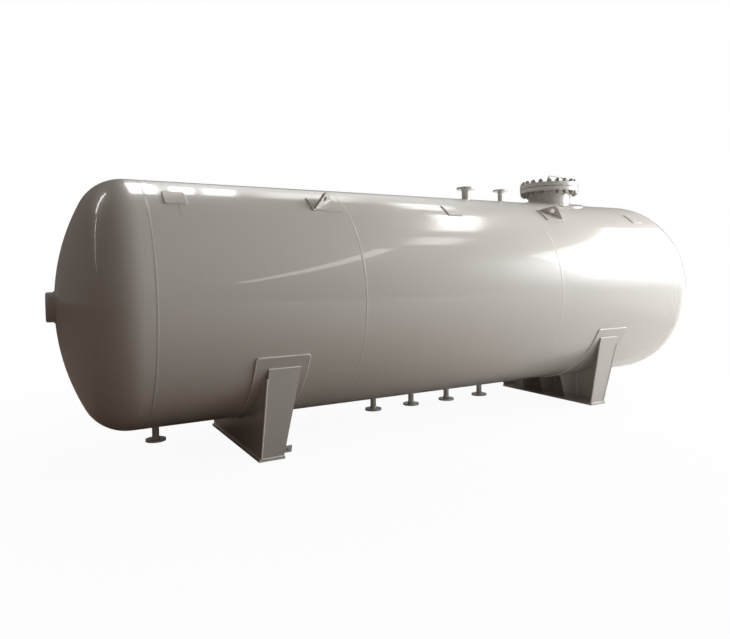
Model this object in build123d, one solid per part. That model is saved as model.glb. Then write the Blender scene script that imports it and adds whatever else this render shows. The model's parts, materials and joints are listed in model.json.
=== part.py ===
from build123d import *
import math
import os

# Horizontal pressure tank on two saddles, in millimetres.
# X runs along the tank towards the manway end, Z points up, and the origin lies on the ground
# at the centre of the fixed saddle's base plate. Stations are counted along the tank from the
# weld between the left head and the shell.

# Shell and dished heads; the crown and knuckle radii are those inside the head
SHELL_BORE = 2000.0
SHELL_WALL = 14.0
COURSE_LENGTHS = {"shell_left": 1625.0, "shell_middle": 2220.0, "shell_right": 1775.0}
HEAD_CROWN = 1800.0
HEAD_KNUCKLE = 340.0
HEAD_SKIRT = 85.0

# Saddles
SADDLE_STATIONS = {"saddle_fixed": 900.0, "saddle_sliding": 4700.0}
SADDLE_HEIGHT = 250.0
BASE_LENGTH = 1420.0
BASE_WIDTH = 220.0
BASE_THICKNESS = 20.0
BASE_HOLE_EDGE = 80.0
BASE_HOLE = 28.0
BASE_SLOT_LENGTH = 60.0
WEB_THICKNESS = 14.0
WEB_SETBACK = 16.0
WEB_NOTCH_DROP = 65.0
RIB_WIDTH_FOOT = 185.0
RIB_WIDTH_TOP = 264.0
RIB_THICKNESS = 12.0
RIB_SPACING = 330.0
RIB_COUNT = 3
END_PLATE_THICKNESS = 14.0
END_PLATE_SETBACK = 10.0
END_PLATE_RISE = 10.0
SADDLE_ANGLE = 120.0
WEAR_PAD_ANGLE = 133.0
WEAR_PAD_WIDTH = 435.0
WEAR_PAD_SHIFT = 32.0
WEAR_PAD_THICKNESS = 10.0
WEAR_PAD_CORNER = 20.0

# Earthing lug on the fixed saddle's front end plate
EARTH_LUG_WIDTH = 110.0
EARTH_LUG_HEIGHT = 60.0
EARTH_LUG_THICKNESS = 8.0
EARTH_LUG_REACH = 68.0
EARTH_LUG_RISE = 22.0
EARTH_LUG_HOLE = 14.0

# Flanged nozzles: pipe outside diameter and wall, flange, bolt circle and raised face
NOZZLE_SIZES = {
    "dn50": {"pipe": 57.0, "wall": 3.5, "flange": 165.0, "thick": 20.0, "pcd": 125.0,
             "holes": 4, "hole": 18.0, "face": 102.0, "hub": 74.0},
    "dn80": {"pipe": 89.0, "wall": 4.5, "flange": 200.0, "thick": 24.0, "pcd": 160.0,
             "holes": 8, "hole": 18.0, "face": 138.0, "hub": 108.0},
}
NOZZLE_PROJECTION = 140.0
NOZZLE_INSIDE = 5.0
NOZZLE_HUB_LENGTH = 25.0
RAISED_FACE = 2.0
TOP_NOZZLES = {"nozzle_top_1": (3452.0, "dn80"), "nozzle_top_2": (3948.0, "dn50")}
BOTTOM_NOZZLE_STATIONS = {
    "nozzle_bottom_1": 131.0,
    "nozzle_bottom_2": 2238.0,
    "nozzle_bottom_3": 2693.0,
    "nozzle_bottom_4": 3148.0,
    "nozzle_bottom_5": 3603.0,
}

# Manway with a bolted blind cover
MANWAY_STATION = 4710.0
MANWAY_BORE = 450.0
MANWAY_WALL = 14.0
MANWAY_FLANGE = 670.0
MANWAY_FLANGE_THICKNESS = 46.0
MANWAY_COVER_THICKNESS = 46.0
MANWAY_PROJECTION = 186.0
MANWAY_PCD = 600.0
MANWAY_HOLES = 20
MANWAY_HOLE = 36.0
MANWAY_FACE = 550.0
GASKET_THICKNESS = 4.0
MANWAY_PAD = 760.0
MANWAY_PAD_THICKNESS = 14.0
HANDLE_SPAN = 250.0
HANDLE_RISE = 100.0
HANDLE_BAR = 24.0
HANDLE_BEND = 45.0
HANDLE_OFFSET = 115.0

# Gauge boss at the middle of the left head
BOSS_DIAMETER = 235.0
BOSS_PROJECTION = 60.0
BOSS_BORE = 80.0
BOSS_CHAMFER = 10.0
BOSS_PCD = 180.0
BOSS_HOLES = 8
BOSS_HOLE = 14.0
BOSS_HOLE_DEPTH = 32.0

# Lifting lugs, two a side, on curved pads; angles are above the horizontal through the axis
LUG_STATIONS = {"left": 1434.0, "right": 4100.0}
LUG_PAD_WIDTH = 245.0
LUG_PAD_HEIGHT = 190.0
LUG_PAD_THICKNESS = 12.0
LUG_PAD_LOW_ANGLE = 48.0
LUG_WIDTH = 265.0
LUG_HEIGHT = 102.0
LUG_THICKNESS = 20.0
LUG_EYE = 46.0
LUG_NOSE = 56.0
LUG_TURN = 38.0

# Plain curved pads that brackets are welded to
BRACKET_STATIONS = {"left": 209.0, "middle": 2793.0, "right": 5425.0}
BRACKET_PAD_WIDTH = 160.0
BRACKET_PAD_HEIGHT = 160.0
BRACKET_PAD_THICKNESS = 10.0
BRACKET_PAD_LOW_ANGLE = 48.6

# Clearance between curved faces that are welded together
SEAT = 0.3

# Angle of the belly, counted like the pads' angles, and the directions of a head's arcs
BELLY_ANGLE = -90.0
QUARTER_TURN = 90.0
HALF_TURN = 180.0
FULL_TURN = 360.0

# Two lengths of edge closer than this are the same edge's
SAME_LENGTH = 0.001

# Worked out from the sizes above
INNER_RADIUS = SHELL_BORE / 2
OUTER_RADIUS = INNER_RADIUS + SHELL_WALL
AXIS_HEIGHT = OUTER_RADIUS + SADDLE_HEIGHT
LEFT_WELD = -SADDLE_STATIONS["saddle_fixed"]
TANK_LENGTH = sum(COURSE_LENGTHS.values())
TANK_MIDDLE = LEFT_WELD + TANK_LENGTH / 2
KNUCKLE_AXIS = INNER_RADIUS - HEAD_KNUCKLE
KNUCKLE_TO_CROWN = HEAD_CROWN - HEAD_KNUCKLE
HEAD_TANGENT = LEFT_WELD - HEAD_SKIRT
CROWN_CENTRE = HEAD_TANGENT + math.sqrt(KNUCKLE_TO_CROWN ** 2 - KNUCKLE_AXIS ** 2)
CROWN_ANGLE = math.degrees(math.asin(KNUCKLE_AXIS / KNUCKLE_TO_CROWN))
HEAD_APEX = CROWN_CENTRE - HEAD_CROWN - SHELL_WALL
PAD_RADIUS = OUTER_RADIUS + SEAT
WEAR_PAD_RADIUS = PAD_RADIUS + WEAR_PAD_THICKNESS
CRADLE_RADIUS = WEAR_PAD_RADIUS + SEAT
FAR = 4 * OUTER_RADIUS


def save(name, shape):
    """Write one piece as its own STEP file."""
    export_step(shape, os.path.join("parts", name + ".step"))


def at_station(station):
    """X of a station."""
    return LEFT_WELD + station


def tank_cylinder(radius, length=2 * TANK_LENGTH, middle=TANK_MIDDLE):
    """Solid cylinder on the tank's axis, by default long enough to pass every piece."""
    return Pos(middle, 0, AXIS_HEIGHT) * Rot(0, QUARTER_TURN, 0) * Cylinder(radius, length)


def nozzle_places():
    """Name, X, side and pipe radius of each branch that passes through the shell."""
    places = []
    for name, (station, size) in TOP_NOZZLES.items():
        places.append((name, at_station(station), 1, size))
    for name, station in BOTTOM_NOZZLE_STATIONS.items():
        places.append((name, at_station(station), -1, "dn50"))
    return places


def branch_holes():
    """Cylinders that open the shell for every nozzle and for the manway."""
    holes = []
    for name, x, side, size in nozzle_places():
        radius = NOZZLE_SIZES[size]["pipe"] / 2 + SEAT
        middle = AXIS_HEIGHT + side * OUTER_RADIUS
        holes.append(Pos(x, 0, middle) * Cylinder(radius, OUTER_RADIUS / 2))
    radius = MANWAY_BORE / 2 + MANWAY_WALL + SEAT
    middle = AXIS_HEIGHT + OUTER_RADIUS
    holes.append(Pos(at_station(MANWAY_STATION), 0, middle) * Cylinder(radius, OUTER_RADIUS / 2))
    return holes


def make_courses():
    """Three rolled shell courses, butted at the girth welds."""
    start = LEFT_WELD
    for name, length in COURSE_LENGTHS.items():
        middle = start + length / 2
        course = tank_cylinder(OUTER_RADIUS, length, middle) - tank_cylinder(INNER_RADIUS, length, middle)
        for hole in branch_holes():
            if start < hole.center().X < start + length:
                course -= hole
        save(name, course)
        start += length


def head_arcs(growth):
    """Knuckle and crown arcs of the left head, grown outwards from its inside."""
    knuckle_centre = (HEAD_TANGENT, KNUCKLE_AXIS)
    knuckle = CenterArc(knuckle_centre, HEAD_KNUCKLE + growth, QUARTER_TURN, QUARTER_TURN - CROWN_ANGLE)
    crown = CenterArc((CROWN_CENTRE, 0), HEAD_CROWN + growth, HALF_TURN - CROWN_ANGLE, CROWN_ANGLE)
    return [knuckle, crown]


def make_heads():
    """Dished heads with straight skirts; the left one is bored for the gauge boss."""
    edges = head_arcs(0) + head_arcs(SHELL_WALL)
    edges += [
        Line((LEFT_WELD, INNER_RADIUS), (HEAD_TANGENT, INNER_RADIUS)),
        Line((LEFT_WELD, OUTER_RADIUS), (HEAD_TANGENT, OUTER_RADIUS)),
        Line((LEFT_WELD, INNER_RADIUS), (LEFT_WELD, OUTER_RADIUS)),
        Line((HEAD_APEX, 0), (HEAD_APEX + SHELL_WALL, 0)),
    ]
    head = Pos(0, 0, AXIS_HEIGHT) * revolve(make_face(edges), Axis.X)
    bore = tank_cylinder(BOSS_BORE / 2, 2 * BOSS_DIAMETER, HEAD_APEX)
    save("head_left", head - bore)
    save("head_right", mirror(head, Plane.YZ.offset(TANK_MIDDLE)))


def make_gauge_boss():
    """Thick round boss with a bored middle and tapped holes, set on the left head."""
    face = HEAD_APEX - BOSS_PROJECTION
    depth = 2 * BOSS_PROJECTION
    boss = tank_cylinder(BOSS_DIAMETER / 2, depth, face + depth / 2)
    rim = boss.faces().sort_by(Axis.X)[0].edges()
    boss = chamfer(rim, BOSS_CHAMFER)
    boss -= Pos(CROWN_CENTRE, 0, AXIS_HEIGHT) * Sphere(HEAD_CROWN + SHELL_WALL + SEAT)
    boss -= tank_cylinder(BOSS_BORE / 2, 4 * depth, face)
    turned = Pos(face, 0, AXIS_HEIGHT) * Rot(0, QUARTER_TURN, 0)
    for hole in bolt_holes(BOSS_HOLES, BOSS_PCD, BOSS_HOLE, 2 * BOSS_HOLE_DEPTH):
        boss -= turned * hole
    save("gauge_boss", boss)


def bolt_holes(count, pcd, hole, length):
    """Round holes on a bolt circle about Z, the first one half a step off the centre line."""
    step = FULL_TURN / count
    holes = []
    for place in range(count):
        angle = step / 2 + place * step
        holes.append(Rot(0, 0, angle) * Pos(pcd / 2, 0, 0) * Cylinder(hole / 2, length))
    return holes


def nozzle(size):
    """One branch pipe with a neck flange, standing on Z from the shell's crown at Z = 0."""
    s = NOZZLE_SIZES[size]
    pipe = s["pipe"] / 2
    foot = -SHELL_WALL - NOZZLE_INSIDE
    back = NOZZLE_PROJECTION - s["thick"]
    shoulder = NOZZLE_PROJECTION - RAISED_FACE
    points = [
        (0, foot),
        (pipe, foot),
        (pipe, back - NOZZLE_HUB_LENGTH),
        (s["hub"] / 2, back),
        (s["flange"] / 2, back),
        (s["flange"] / 2, shoulder),
        (s["face"] / 2, shoulder),
        (s["face"] / 2, NOZZLE_PROJECTION),
        (0, NOZZLE_PROJECTION),
    ]
    section = Plane.XZ * make_face(Polyline(points, close=True))
    branch = revolve(section, Axis.Z)
    branch -= Pos(0, 0, NOZZLE_PROJECTION / 2) * Cylinder(pipe - s["wall"], 3 * NOZZLE_PROJECTION)
    for hole in bolt_holes(s["holes"], s["pcd"], s["hole"], 3 * s["thick"]):
        branch -= Pos(0, 0, NOZZLE_PROJECTION) * hole
    return branch


def make_nozzles():
    """Every flanged nozzle, on the crown or under the belly."""
    for name, x, side, size in nozzle_places():
        turn = 0 if side > 0 else HALF_TURN
        save(name, Pos(x, 0, AXIS_HEIGHT + side * OUTER_RADIUS) * Rot(turn, 0, 0) * nozzle(size))


def make_manway():
    """Reinforcing pad, neck with its flange, gasket, blind cover and the cover's handle."""
    x = at_station(MANWAY_STATION)
    crown = AXIS_HEIGHT + OUTER_RADIUS
    top = crown + MANWAY_PROJECTION
    outside = MANWAY_BORE / 2 + MANWAY_WALL
    pad = Pos(x, 0, crown) * Cylinder(MANWAY_PAD / 2, OUTER_RADIUS)
    pad = pad & tank_cylinder(PAD_RADIUS + MANWAY_PAD_THICKNESS)
    pad -= tank_cylinder(PAD_RADIUS)
    pad -= Pos(x, 0, crown) * Cylinder(outside + SEAT, 2 * OUTER_RADIUS)
    save("manway_pad", pad)

    neck = Pos(x, 0, top - OUTER_RADIUS / 2) * Cylinder(outside, OUTER_RADIUS)
    neck += Pos(x, 0, top - MANWAY_FLANGE_THICKNESS / 2) * Cylinder(MANWAY_FLANGE / 2, MANWAY_FLANGE_THICKNESS)
    neck += Pos(x, 0, top + RAISED_FACE / 2) * Cylinder(MANWAY_FACE / 2, RAISED_FACE)
    neck -= Pos(x, 0, top) * Cylinder(MANWAY_BORE / 2, 3 * OUTER_RADIUS)
    neck -= tank_cylinder(INNER_RADIUS)
    for hole in bolt_holes(MANWAY_HOLES, MANWAY_PCD, MANWAY_HOLE, 3 * MANWAY_FLANGE_THICKNESS):
        neck -= Pos(x, 0, top) * hole
    save("manway_neck", neck)

    gasket_bottom = top + RAISED_FACE
    gasket = Cylinder(MANWAY_FACE / 2, GASKET_THICKNESS) - Cylinder(MANWAY_BORE / 2, GASKET_THICKNESS)
    save("manway_gasket", Pos(x, 0, gasket_bottom + GASKET_THICKNESS / 2) * gasket)

    cover_bottom = gasket_bottom + GASKET_THICKNESS
    cover = Cylinder(MANWAY_FLANGE / 2, MANWAY_COVER_THICKNESS)
    for hole in bolt_holes(MANWAY_HOLES, MANWAY_PCD, MANWAY_HOLE, 3 * MANWAY_COVER_THICKNESS):
        cover -= hole
    save("manway_cover", Pos(x, 0, cover_bottom + MANWAY_COVER_THICKNESS / 2) * cover)

    cover_top = cover_bottom + MANWAY_COVER_THICKNESS
    rise = HANDLE_RISE - HANDLE_BAR / 2
    half = HANDLE_SPAN / 2
    path = FilletPolyline((-half, 0, 0), (-half, 0, rise), (half, 0, rise), (half, 0, 0), radius=HANDLE_BEND)
    handle = sweep(Pos(-half, 0) * Circle(HANDLE_BAR / 2), path=path)
    save("manway_handle", Pos(x, -HANDLE_OFFSET, cover_top) * handle)


def curved_pad(x, width, thickness, low_angle, high_angle, corner, radius=PAD_RADIUS):
    """Rolled plate on the shell, between two angles above the front horizontal."""
    outer = radius + thickness
    points = []
    for r in (radius, outer):
        for angle in (low_angle, (low_angle + high_angle) / 2, high_angle):
            a = math.radians(angle)
            points.append((-r * math.cos(a), r * math.sin(a)))
    inner_arc = ThreePointArc(points[0], points[1], points[2])
    outer_arc = ThreePointArc(points[3], points[4], points[5])
    ends = [Line(points[0], points[3]), Line(points[2], points[5])]
    section = Plane.YZ * make_face([inner_arc, outer_arc] + ends)
    plate = extrude(section, width / 2, both=True)
    radial = [e for e in plate.edges() if abs(e.length - thickness) < SAME_LENGTH]
    if corner > 0:
        plate = fillet(radial, corner)
    return Pos(x, 0, AXIS_HEIGHT) * plate


def mirrored(shape):
    """The same piece on the tank's other side."""
    return mirror(shape, Plane.XZ)


def lug_plate(x, turn):
    """Lifting eye plate that leans towards the hook above the tank's middle."""
    pad_outer = PAD_RADIUS + LUG_PAD_THICKNESS
    half_angle = math.degrees(LUG_PAD_HEIGHT / 2 / OUTER_RADIUS)
    angle = LUG_PAD_LOW_ANGLE + half_angle
    a = math.radians(angle)
    outward = Vector(0, -math.cos(a), math.sin(a))
    uphill = Vector(0, math.sin(a), math.cos(a))
    t = math.radians(turn)
    along = Vector(1, 0, 0) * math.cos(t) + uphill * math.sin(t)
    foot = Vector(x, 0, AXIS_HEIGHT) + outward * pad_outer
    frame = Plane(origin=foot, x_dir=along, z_dir=along.cross(outward))
    sink = LUG_WIDTH * LUG_WIDTH / (8 * pad_outer) + LUG_THICKNESS
    half = LUG_WIDTH / 2
    eye_height = LUG_HEIGHT - LUG_NOSE
    outline = make_hull(
        [
            *Polyline((-half, -sink), (half, -sink), (half, 0), (-half, 0), close=True).edges(),
            *(Pos(0, eye_height) * Circle(LUG_NOSE)).edges(),
        ]
    )
    outline -= Pos(0, eye_height) * Circle(LUG_EYE / 2)
    plate = extrude(frame * outline, LUG_THICKNESS / 2, both=True)
    return plate - tank_cylinder(pad_outer + SEAT)


def make_lugs():
    """Four lifting lugs and the rolled pads under them."""
    high = LUG_PAD_LOW_ANGLE + math.degrees(LUG_PAD_HEIGHT / OUTER_RADIUS)
    for place, station in LUG_STATIONS.items():
        x = at_station(station)
        turn = LUG_TURN if place == "left" else HALF_TURN - LUG_TURN
        plate = lug_plate(x, turn)
        pad = curved_pad(x, LUG_PAD_WIDTH, LUG_PAD_THICKNESS, LUG_PAD_LOW_ANGLE, high, 0)
        save("lifting_lug_front_" + place, plate)
        save("lifting_lug_back_" + place, mirrored(plate))
        save("lug_pad_front_" + place, pad)
        save("lug_pad_back_" + place, mirrored(pad))


def make_bracket_pads():
    """Three plain pads along each shoulder of the shell."""
    high = BRACKET_PAD_LOW_ANGLE + math.degrees(BRACKET_PAD_HEIGHT / OUTER_RADIUS)
    row = []
    for station in BRACKET_STATIONS.values():
        x = at_station(station)
        row.append(curved_pad(x, BRACKET_PAD_WIDTH, BRACKET_PAD_THICKNESS, BRACKET_PAD_LOW_ANGLE, high, 0))
    save("bracket_pads_front", Compound(row))
    save("bracket_pads_back", Compound([mirrored(pad) for pad in row]))


def end_plate_line():
    """Foot and top of the line where an end plate's inner face lies, as Y and height on the front side."""
    lean = math.radians(SADDLE_ANGLE / 2)
    top_y = -CRADLE_RADIUS * math.sin(lean)
    top_z = AXIS_HEIGHT - CRADLE_RADIUS * math.cos(lean)
    foot_y = -(BASE_LENGTH / 2 - END_PLATE_SETBACK - END_PLATE_THICKNESS)
    return (foot_y, BASE_THICKNESS), (top_y, top_z)


def along_line(height):
    """Y of an end plate's inner face at a height."""
    foot, top = end_plate_line()
    share = (height - foot[1]) / (top[1] - foot[1])
    return foot[0] + share * (top[0] - foot[0])


def end_plate_across():
    """Width of an end plate's section, measured level."""
    foot, top = end_plate_line()
    return END_PLATE_THICKNESS * math.dist(foot, top) / (top[1] - foot[1])


def rib_side():
    """X of the web's face that the ribs and end plates stand on, from the saddle's centre."""
    return -BASE_WIDTH / 2 + WEB_SETBACK + WEB_THICKNESS


def taper_cutter(foot_z, top_z):
    """Block past the slanted free edge of a rib, from the foot width to the top width."""
    edge = rib_side() + RIB_WIDTH_FOOT
    slope = (RIB_WIDTH_TOP - RIB_WIDTH_FOOT) / (top_z - foot_z)
    points = [
        (edge + slope * (-FAR - foot_z), -FAR),
        (edge + slope * (FAR - foot_z), FAR),
        (edge + FAR, FAR),
        (edge + FAR, -FAR),
    ]
    return extrude(Plane.XZ * make_face(Polyline(points, close=True)), FAR, both=True)


def make_end_plate():
    """Leaning plate that closes the front end of a saddle."""
    foot, top = end_plate_line()
    across = end_plate_across()
    ceiling = top[1] + END_PLATE_RISE
    points = [
        foot,
        (along_line(ceiling), ceiling),
        (along_line(ceiling) - across, ceiling),
        (foot[0] - across, foot[1]),
    ]
    plate = extrude(Plane.YZ.offset(rib_side()) * make_face(Polyline(points, close=True)), 2 * RIB_WIDTH_TOP)
    plate -= taper_cutter(foot[1], top[1])
    return plate - tank_cylinder(CRADLE_RADIUS)


def make_web():
    """Transverse web plate, cut to the wear pad above and notched at its top corners."""
    foot, top = end_plate_line()
    across = end_plate_across()
    notch = top[1] - WEB_NOTCH_DROP
    half_foot = across - foot[0]
    half_notch = across - along_line(notch)
    points = [(-half_foot, foot[1]), (-half_notch, notch), (half_notch, notch), (half_foot, foot[1])]
    start = rib_side() - WEB_THICKNESS
    web = extrude(Plane.YZ.offset(start) * make_face(Polyline(points, close=True)), WEB_THICKNESS)
    return web - tank_cylinder(CRADLE_RADIUS)


def make_ribs():
    """Upright ribs between the base plate and the wear pad, behind the web."""
    height = AXIS_HEIGHT - BASE_THICKNESS
    ribs = []
    for step in range(RIB_COUNT):
        y = (step - (RIB_COUNT - 1) / 2) * RIB_SPACING
        top_z = AXIS_HEIGHT - math.sqrt(CRADLE_RADIUS ** 2 - y ** 2)
        block = Box(2 * RIB_WIDTH_TOP, RIB_THICKNESS, height)
        rib = Pos(rib_side() + RIB_WIDTH_TOP, y, BASE_THICKNESS + height / 2) * block
        rib -= tank_cylinder(CRADLE_RADIUS)
        rib -= taper_cutter(BASE_THICKNESS, top_z)
        ribs.append(rib)
    return Compound(ribs)


def make_base(slotted):
    """Base plate with a hole at each end, slotted along the tank where the saddle slides."""
    plate = Pos(0, 0, BASE_THICKNESS / 2) * Box(BASE_WIDTH, BASE_LENGTH, BASE_THICKNESS)
    opening = SlotOverall(BASE_SLOT_LENGTH, BASE_HOLE) if slotted else Circle(BASE_HOLE / 2)
    for side in (-1, 1):
        plate -= Pos(0, side * (BASE_LENGTH / 2 - BASE_HOLE_EDGE), 0) * extrude(opening, 2 * BASE_THICKNESS)
    return plate


def make_saddle(name, station):
    """Base plate, web, end plates, ribs and wear pad of one saddle, whose ribs face the other saddle."""
    end_plate = make_end_plate()
    half = WEAR_PAD_ANGLE / 2
    pieces = {
        "base_plate": make_base(name == "saddle_sliding"),
        "web": make_web(),
        "end_plate_front": end_plate,
        "end_plate_back": mirrored(end_plate),
        "ribs": make_ribs(),
        "wear_pad": curved_pad(WEAR_PAD_SHIFT, WEAR_PAD_WIDTH, WEAR_PAD_THICKNESS, BELLY_ANGLE - half,
                               BELLY_ANGLE + half, WEAR_PAD_CORNER),
    }
    for piece, shape in pieces.items():
        if name == "saddle_sliding":
            shape = mirror(shape, Plane.YZ)
        save(name + "_" + piece, Pos(at_station(station), 0, 0) * shape)


def make_earthing_lug():
    """Small drilled plate lapped on the inside of the fixed saddle's front end plate."""
    foot, top = end_plate_line()
    length = math.dist(foot, top)
    up = Vector(0, (top[0] - foot[0]) / length, (top[1] - foot[1]) / length)
    inward = Vector(0, up.Z, -up.Y)
    right = rib_side() + RIB_WIDTH_FOOT + EARTH_LUG_REACH
    middle_x = at_station(SADDLE_STATIONS["saddle_fixed"]) + right - EARTH_LUG_WIDTH / 2
    origin = Vector(middle_x, foot[0], foot[1]) + up * (EARTH_LUG_RISE + EARTH_LUG_HEIGHT / 2)
    frame = Plane(origin=origin, x_dir=Vector(1, 0, 0), z_dir=inward)
    outline = Rectangle(EARTH_LUG_WIDTH, EARTH_LUG_HEIGHT)
    outline -= Pos(EARTH_LUG_WIDTH / 2 - EARTH_LUG_REACH / 2, 0) * Circle(EARTH_LUG_HOLE / 2)
    save("earthing_lug", extrude(frame * outline, EARTH_LUG_THICKNESS))


os.makedirs("parts", exist_ok=True)
make_courses()
make_heads()
make_gauge_boss()
make_nozzles()
make_manway()
make_lugs()
make_bracket_pads()
for saddle_name, saddle_station in SADDLE_STATIONS.items():
    make_saddle(saddle_name, saddle_station)
make_earthing_lug()
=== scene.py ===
import json
import math

import bmesh
import bpy
from mathutils import Matrix, Vector


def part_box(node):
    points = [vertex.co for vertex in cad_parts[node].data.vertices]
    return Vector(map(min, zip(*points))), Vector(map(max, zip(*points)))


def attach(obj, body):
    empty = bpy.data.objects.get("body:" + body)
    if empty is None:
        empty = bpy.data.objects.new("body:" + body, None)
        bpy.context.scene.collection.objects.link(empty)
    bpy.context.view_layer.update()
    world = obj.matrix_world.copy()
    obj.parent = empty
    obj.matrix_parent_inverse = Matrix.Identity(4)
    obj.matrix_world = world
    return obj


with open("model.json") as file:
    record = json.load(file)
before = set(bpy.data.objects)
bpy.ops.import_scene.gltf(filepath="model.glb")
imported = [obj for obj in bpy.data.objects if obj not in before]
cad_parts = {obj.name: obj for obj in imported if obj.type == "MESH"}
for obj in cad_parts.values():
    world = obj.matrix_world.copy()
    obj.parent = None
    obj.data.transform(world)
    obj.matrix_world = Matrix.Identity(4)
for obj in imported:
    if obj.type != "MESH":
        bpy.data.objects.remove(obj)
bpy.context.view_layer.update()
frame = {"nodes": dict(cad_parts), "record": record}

BODY = "root"
MM = 0.001

# Camera, as fitted to the outline, the girth welds and the saddles' corners; angles in radians
CAMERA_PLACE = (-1.6292, -5.2406, 1.4626)
CAMERA_YAW = 0.50466
CAMERA_PITCH = -0.02678
CAMERA_ROLL = 0.01727
FOCAL_PIXELS = 598.75
IMAGE_WIDTH = 730
IMAGE_HEIGHT = 639
OPTICAL_AXIS_Y = 292.31
SENSOR_MM = 36.0

# Sizes read from the frame
SHELL_LOW, SHELL_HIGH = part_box("shell_left")
RADIUS = (SHELL_HIGH.y - SHELL_LOW.y) / 2
AXIS_Z = (SHELL_HIGH.z + SHELL_LOW.z) / 2
LEFT_WELD = SHELL_LOW.x
WELD_B = SHELL_HIGH.x
WELD_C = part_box("shell_right")[0].x
RIGHT_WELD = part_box("shell_right")[1].x
COVER_LOW, COVER_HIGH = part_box("manway_cover")
NECK_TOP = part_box("manway_neck")[1].z
MANWAY_X = (COVER_LOW.x + COVER_HIGH.x) / 2

# Sizes that repeat the model's; angles in degrees
SEAT = 0.3 * MM
PIPE_RADII = {165: 28.5 * MM, 200: 44.5 * MM}
MANWAY_CIRCLE = 600 * MM
MANWAY_STUDS = 20
MANWAY_STUD = 33 * MM
MANWAY_FLANGE_THICKNESS = 46 * MM
MANWAY_NECK = 478 * MM
MANWAY_PAD_THICKNESS = 14 * MM
MANWAY_RAISED_FACE = 2 * MM
HEAD_CROWN = 1814 * MM
BOSS_PROJECTION = 60 * MM
LUG_TURN = 38
LUG_WIDTH = 265 * MM
LUG_PAD_THICKNESS = 12 * MM
BRACKET_PAD_THICKNESS = 10 * MM
WEAR_PAD_THICKNESS = 10 * MM
WEAR_PAD_ANGLE = 133
WEAR_PAD_CORNER = 20 * MM
END_PLATE_SETBACK = 10 * MM
RIB_WIDTH_FOOT = 185 * MM
RIB_WIDTH_TOP = 264 * MM
RIB_THICKNESS = 12 * MM
WEB_THICKNESS = 14 * MM
WEB_NOTCH_DROP = 65 * MM
END_PLATE_RISE = 10 * MM
END_PLATE_TOP_MIDDLE = 8 * MM
WEB_ARC = 55
EARTH_LUG_REACH = 68 * MM
EARTH_LUG_THICKNESS = 8 * MM

# Solids of one node that stand further apart than this along the tank are separate pads
PAD_GAP = 0.5

# Welds: half width and height of each bead, the spacing of its points and how uneven it is
GIRTH_WELD_HALF = 15 * MM
GIRTH_WELD_DEPTH = 4 * MM
GIRTH_WELD_RISE = 1.0 * MM
GIRTH_WELD_STEP = 12 * MM
GIRTH_WELD_UNEVENNESS = 0.4 * MM
SEAM_ANGLES = (118, 152, 124)
NOZZLE_FILLET = 5 * MM
NOZZLE_WELD_STEP = 6 * MM
MANWAY_FILLET = 9 * MM
PAD_FILLET_HALF = 8 * MM
PAD_FILLET_HEIGHT = 3 * MM
LUG_FILLET = 6 * MM
LUG_WELD_OFFSET = 11 * MM
LUG_WELD_SPANS = 12
BOSS_FILLET = 10 * MM
SADDLE_FILLET = 7 * MM
WELD_STEP = 8 * MM
WELD_UNEVENNESS = 1.2 * MM
BEAD_SIDES = 10
BEAD_LUMPS = 70.0
RIPPLE_PITCH = 7 * MM
RIPPLE_DEPTH = 0.8 * MM
SHORTEST_EDGE = 0.1 * MM

# Nodes given a lighter copy of the enamel, which is painted light that brightens them
PAINTED_LIGHT_FITTINGS = ("nozzle", "manway_neck", "manway_cover", "manway_handle")

# What lies on the enamel, as colours
DIRT = (0.30, 0.25, 0.19, 1.0)
DUST = (0.50, 0.46, 0.39, 1.0)
RUST = (0.20, 0.085, 0.035, 1.0)
RUN_RUST = (0.34, 0.22, 0.17, 1.0)

# How much of the dirt, the specks and the runs shows
DIRT_AMOUNT = 0.12
RUST_AMOUNT = 0.6
RUN_AMOUNT = 0.5

# Patterns in the enamel, in blobs a metre, where each begins and is full, and the relief's depths
MOTTLE_SCALE = 0.8
STREAKS_ALONG = 26.0
STREAKS_AROUND = 1.1
STREAK_EDGES = (0.60, 0.85)
STREAK_ANGLES = (-0.9, 0.6)
SIDE_SHIFT = 7.0
DUST_SCALE = 4.0
DUST_EDGES = (0.2, 0.9)
DUST_UP = (0.55, 1.0)
SPECK_SCALE = 55.0
SPECK_EDGES = (0.70, 0.76)
SPECK_FIELD_SCALE = 3.1
SPECK_FIELD_EDGES = (0.58, 0.70)
GLOSS_SCALE = 1.9
GLOSS_EDGES = (0.2, 0.8)
GLOSS_RANGE = 0.03
DUST_DULLNESS = 0.3
PEEL_SCALE = 190.0
PEEL_DEPTH = 0.2 * MM
SAG_SCALE = 1.6
COAT_WEIGHT = 0.8
COAT_ROUGHNESS = 0.04

# Rusty runs down the shell: station, then the angles in radians where each starts and ends
RUNS = ((-0.676, 0.845, 0.60), (0.664, 0.835, 0.76))
RUN_HALF_WIDTH = 8 * MM
RUN_START_FADE = 0.02

# Soft lights in the roof: middle, half side along the tank, half side across it with its lean,
# brightness, and the shares of the half sides at which the light begins to fade
ROOF = 6.0
ROOF_LIGHTS = {
    "roof_a": ((4.7, 1.7), 0.9, (0.0, 0.75), 4.0, (0.2, 0.7)),
    "roof_b": ((5.0, -0.7), 0.75, (0.0, 1.15), 8.0, (0.3, 0.8)),
    "roof_c": ((4.95, -3.05), 0.9, (0.0, 0.6), 5.0, (0.2, 0.6)),
}
ROOF_LIGHTS_LEFT = {
    "roof_left_a": ((-0.22, 3.1), 0.4, (0.12, 1.75), 8.0, (0.5, 0.75)),
    "roof_left_b": ((0.48, 2.9), 0.24, (0.15, 1.2), 8.0, (0.5, 0.7)),
    "roof_left_c": ((1.1, 2.9), 0.36, (0.2, 1.2), 5.0, (0.5, 0.7)),
    "roof_left_d": ((2.65, 2.9), 1.25, (0.3, 1.1), 2.2, (0.4, 0.8)),
}

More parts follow.
